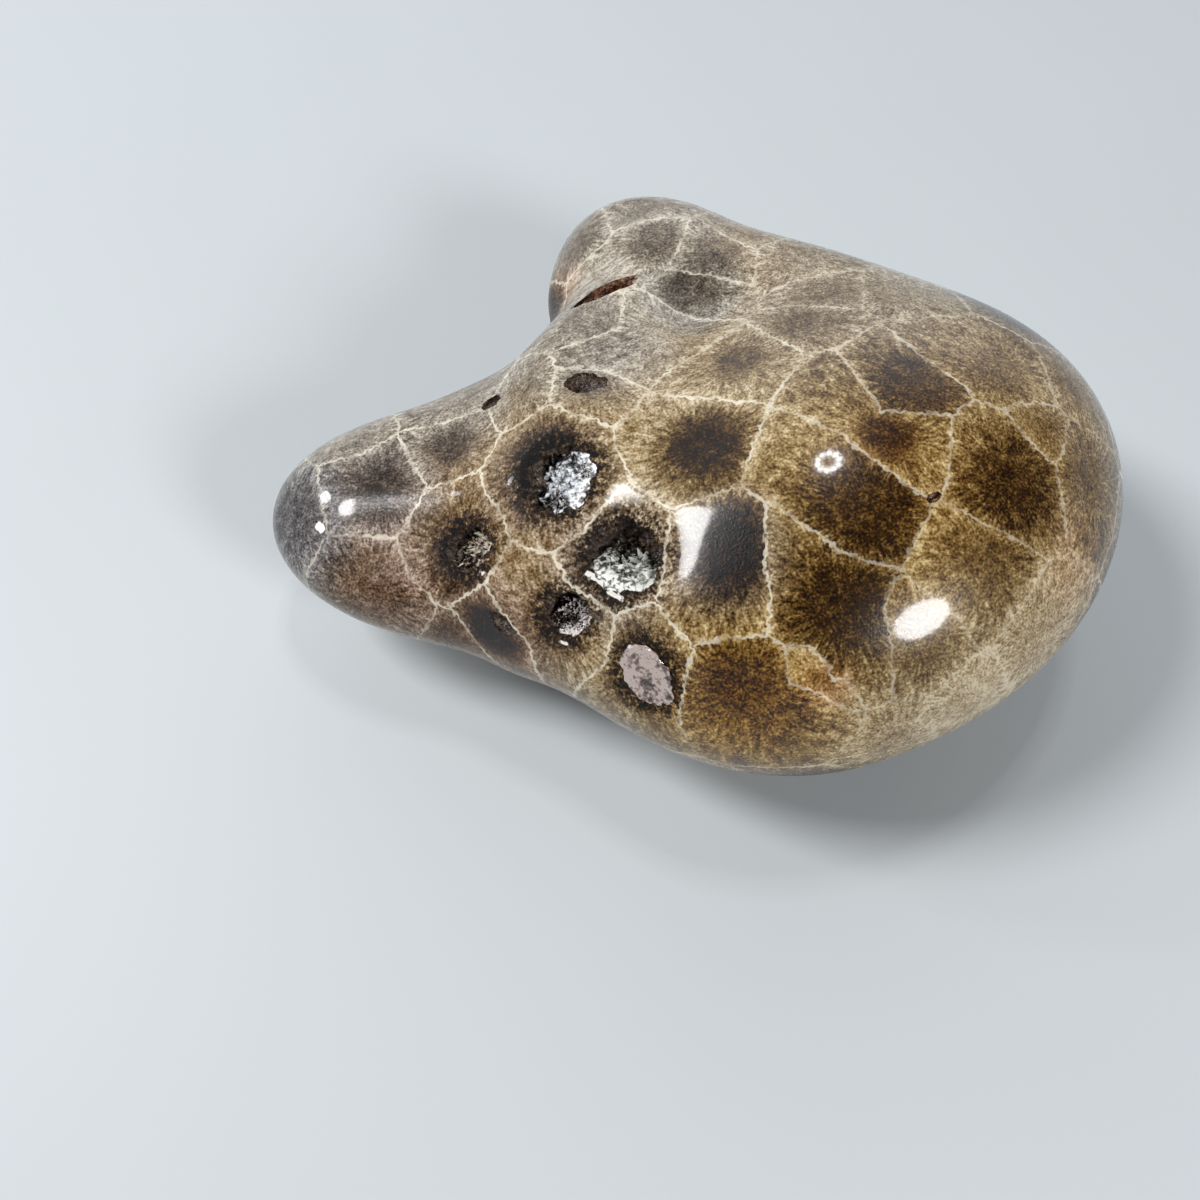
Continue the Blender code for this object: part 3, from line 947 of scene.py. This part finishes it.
def vug_shader(name, *colours):
    """The rough wall of a vug, from its darkest colour to its palest."""
    shader = Shader(name)
    lumps = shader.noise(0.5, detail=4.0, roughness=0.75)
    glint = shader.noise(0.22, detail=2.0)
    skin = shader.ramp(shader.step(lumps, 0.3, 0.75), colours)
    shader.set(Base_Color=skin, Roughness=shader.step(glint, 0.4, 0.6, 0.7, 0.12), IOR=1.54)
    shader.set(Normal=shader.bump(lumps, 0.15, 1.0))
    return shader.material


def calcite_shader(name, pale, deep):
    """Sugary calcite: white patches on darker grains, glassy faces."""
    shader = Shader(name)
    patches = shader.math("MULTIPLY_ADD", shader.wave(0.4, detail=3.0), 1.1, shader.noise(2.0))
    # Painted shade: the crystals darken towards the bottom of the vug.
    deep_shade = shader.step(shader.attribute("sunk"), 0.3, 0.9)
    patches = shader.math("MULTIPLY_ADD", deep_shade, -PAINTED_DEPTH_SHADE, shader.math("ADD", patches, 0.08))
    skin = shader.ramp(shader.step(patches, 0.30, 0.68), (colour(30, 24, 22), deep, pale))
    shader.set(Base_Color=skin, IOR=1.66, Transmission_Weight=0.15, Coat_Weight=0.6)
    shader.set(Roughness=shader.step(patches, 0.3, 0.7, 0.10, 0.3), Coat_Roughness=0.03)
    shader.set(Normal=shader.bump(shader.noise(0.2, detail=2.0), 0.09, 0.8))
    return shader.material


# ---- Calcite crusts ----

# Each crust: bed level and crystal height as shares of the vug's depth, how many crystals,
# how wide, how steeply the bed rises and towards which way in degrees from +X, and its pale
# and deep colours.
CRUSTS = {
    "saddle_vug": (
        0.42, 0.45, 100, 0.13, 0.50, -10, colour(246, 250, 254), colour(124, 120, 120)
    ),
    "middle_vug": (
        0.55, 0.40, 130, 0.12, 0.75, -115, colour(230, 232, 224), colour(90, 86, 76)
    ),
    "horn_vug": (0.55, 0.45, 90, 0.14, 0.30, -40, colour(216, 204, 186), colour(88, 70, 56)),
    "side_vug": (0.55, 0.45, 90, 0.14, 0.50, -70, colour(206, 196, 192), colour(54, 42, 38)),
    "front_vug": (0.06, 0.14, 170, 0.08, 0.0, 0, colour(186, 168, 160), colour(122, 100, 92)),
}
# Painted shade at the bottom of a vug, where shade falls in the hollow:
PAINTED_DEPTH_SHADE = 0.32                # how much darker the crystals are at the bottom of a vug
BELOW_SKIN = 0.05           # how far under the polished skin every crystal ends, of the depth
CRYSTAL_LEAN = 38.0
CRYSTAL_SEED = 21


def add_crystal(bm, place, radius, height, draw):
    """One dog-tooth crystal: three broad and three narrow faces that meet in a point."""
    foot, shoulder = [], []
    for side in range(6):
        angle = math.radians(60 * side)
        reach = radius * (1.0 if side % 2 else 0.74)
        ring = Vector((math.cos(angle), math.sin(angle), 0)) * reach
        foot.append(bm.verts.new(place @ ring))
        shoulder.append(bm.verts.new(place @ (ring * 0.92 + Vector((0, 0, height * 0.45)))))
    lean = Vector((draw.uniform(-0.2, 0.2), draw.uniform(-0.2, 0.2), 0)) * radius
    tip = bm.verts.new(place @ (lean + Vector((0, 0, height))))
    for side in range(6):
        after = (side + 1) % 6
        bm.faces.new((foot[side], foot[after], shoulder[after], shoulder[side]))
        bm.faces.new((shoulder[side], shoulder[after], tip))
    bm.faces.new(list(reversed(foot)))


def build_crust(name, seed, to_frame):
    """A craggy bed of calcite on the vug's floor, with crystals standing on it."""
    level, height, count, width, rise, towards, pale, deep = CRUSTS[name]
    x, y, half_length, half_width, depth, turn = CRUSTED_VUGS[name]
    place = to_frame @ vug_place(x, y, dimple_depth(x, y), turn)
    uphill = math.radians(towards - turn)
    slant = rise * Vector((math.cos(uphill), math.sin(uphill), 0))
    bed = craggy_ball([axis * 0.99 for axis in (half_length, half_width, depth)], 4, seed)
    cut_flat(bed, -level * depth, Vector((0, 0, 1)) - slant)
    cut_flat(bed, -BELOW_SKIN * depth, (0, 0, 1))
    bed.transform(place)
    draw = random.Random(CRYSTAL_SEED + seed)
    for index in range(count):
        share = 0.8 * math.sqrt((index + 0.5) / count)
        angle = index * math.radians(137.5) + seed
        spot = Vector((half_length * math.cos(angle), half_width * math.sin(angle), 0)) * share
        spot.z = min(spot.dot(slant) - (level + 0.15) * depth, -(BELOW_SKIN + 0.2) * depth)
        grown = draw.uniform(0.45, 1.0)
        tall = min((height * grown + 0.15) * depth, -spot.z - BELOW_SKIN * depth)
        tilt = Matrix.Rotation(math.radians(draw.uniform(0, CRYSTAL_LEAN)), 4, "X")
        swing = Matrix.Rotation(draw.uniform(0, 2 * math.pi), 4, "Z")
        add_crystal(
            bed,
            place @ Matrix.Translation(spot * MM) @ swing @ tilt,
            width * half_width * grown * MM,
            tall * MM,
            draw,
        )
    bmesh.ops.recalc_face_normals(bed, faces=bed.faces)
    sunk = bed.verts.layers.float.new("sunk")
    to_vug = place.inverted()
    for vertex in bed.verts:
        vertex[sunk] = -(to_vug @ vertex.co).z / (depth * MM)
    crust = object_from(name.replace("_vug", "_calcite"), bed)
    crust.data.materials.append(calcite_shader(f"{name}_calcite", pale, deep))
    return crust


# ---- Stage, lights and camera ----

FLOOR_SIZE = 2.0
WORLD_COLOUR = (0.80, 0.84, 0.90, 1.0)
# How bright the world is: from y, to y of the direction, brightness in front, behind.
WORLD_FADE = (0.40, 0.88, 0.05, 1.6)
# The pale backdrop round the horizon: from z, to z of the direction, and its brightness.
BACKDROP_TOP, BACKDROP_FOOT, BACKDROP_LIGHT = 0.32, 0.10, 0.75

# Each lamp: the point of the stone that mirrors it to the camera, in millimetres, the way
# from there to the lamp, and the lamp's distance, width and power in metres and watts.
LAMPS = {
    "window": ((16.9, -24.3, 27.0), (0.59, -0.60, 0.54), 0.55, 0.16, 2.00),
    "left_window": ((-2.3, -14.8, 28.3), (-0.62, 0.12, 0.77), 0.60, 0.20, 3.10),
    "side_lamp": ((-33.7, -7.7, 18.4), (-0.79, 0.32, 0.53), 0.60, 0.08, 0.50),
}
# The ring lamp: the same, then its width, how many bulbs make it up, and each one's size.
RING_LAMP = ((9.4, -12.5, 31.8), (0.04, 0.34, 0.94), 0.60, 0.07, 10, 0.016, 0.06)
FLOOR_COLOUR = colour(182, 188, 191)


def build_camera():
    camera = bpy.data.objects.new("camera", bpy.data.cameras.new("camera"))
    bpy.context.scene.collection.objects.link(camera)
    camera.data.sensor_width = SENSOR_WIDTH
    camera.data.lens = SENSOR_WIDTH * FOCAL_LENGTH_PX / PHOTO_SIZE
    camera.data.clip_start = 0.005
    camera.matrix_world = camera_matrix()
    bpy.context.scene.camera = camera


def build_floor():
    bm = bmesh.new()
    bmesh.ops.create_grid(bm, x_segments=1, y_segments=1, size=FLOOR_SIZE / 2)
    floor = object_from("floor", bm)
    shader = Shader("floor_card")
    soft = shader.noise(60.0, detail=2.0)
    shader.set(Base_Color=shader.mix(soft, FLOOR_COLOUR, colour(178, 183, 186)), Roughness=0.6)
    floor.data.materials.append(shader.material)


def add_lamp(name, aim, towards, distance, size, power, shade=(1.0, 1.0, 1.0)):
    """A soft round lamp, seen from a point of the stone in a given direction."""
    lamp = bpy.data.lights.new(name, "AREA")
    lamp.shape = "DISK"
    lamp.size = size
    lamp.energy = power
    lamp.color = shade
    obj = bpy.data.objects.new(name, lamp)
    bpy.context.scene.collection.objects.link(obj)
    heading = Vector(towards).normalized()
    obj.location = Vector(aim) * MM + heading * distance
    obj.rotation_euler = heading.to_track_quat("Z", "Y").to_euler()


def build_light():
    world = bpy.data.worlds.new("studio")
    world.use_nodes = True
    bpy.context.scene.world = world
    nodes, links = world.node_tree.nodes, world.node_tree.links
    heading = nodes.new("ShaderNodeTexCoord")
    parts = nodes.new("ShaderNodeSeparateXYZ")
    fade = nodes.new("ShaderNodeMapRange")
    fade.interpolation_type = "SMOOTHSTEP"
    links.new(heading.outputs["Generated"], parts.inputs[0])
    links.new(parts.outputs["Y"], fade.inputs["Value"])
    for socket, value in zip(fade.inputs[1:5], WORLD_FADE):
        socket.default_value = value
    low = nodes.new("ShaderNodeMapRange")
    low.interpolation_type = "SMOOTHSTEP"
    low.inputs["From Min"].default_value = BACKDROP_TOP
    low.inputs["From Max"].default_value = BACKDROP_FOOT
    links.new(parts.outputs["Z"], low.inputs["Value"])
    blend = nodes.new("ShaderNodeMix")
    links.new(low.outputs[0], blend.inputs["Factor"])
    links.new(fade.outputs[0], blend.inputs["A"])
    blend.inputs["B"].default_value = BACKDROP_LIGHT
    backdrop = nodes["Background"]
    backdrop.inputs["Color"].default_value = WORLD_COLOUR
    links.new(blend.outputs[0], backdrop.inputs["Strength"])
    for name, lamp in LAMPS.items():
        add_lamp(name, *lamp)
    aim, towards, distance, width, count, size, power = RING_LAMP
    heading = Vector(towards).normalized()
    spoke = heading.orthogonal().normalized() * width / 2
    for index in range(count):
        turned = Matrix.Rotation(2 * math.pi * index / count, 3, heading) @ spoke
        add_lamp(f"bulb_{index}", aim, heading * distance + turned, distance, size, power)


def build():
    bpy.context.scene.view_settings.view_transform = "Standard"
    build_camera()
    build_floor()
    build_light()
    stone, to_frame = build_stone()
    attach(stone, "root")
    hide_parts("coral_head")
    for seed, name in enumerate(CRUSTED_VUGS):
        crust = build_crust(name, seed, to_frame)
        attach(crust, "root")
        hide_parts(f"{name}_crystals")


build()
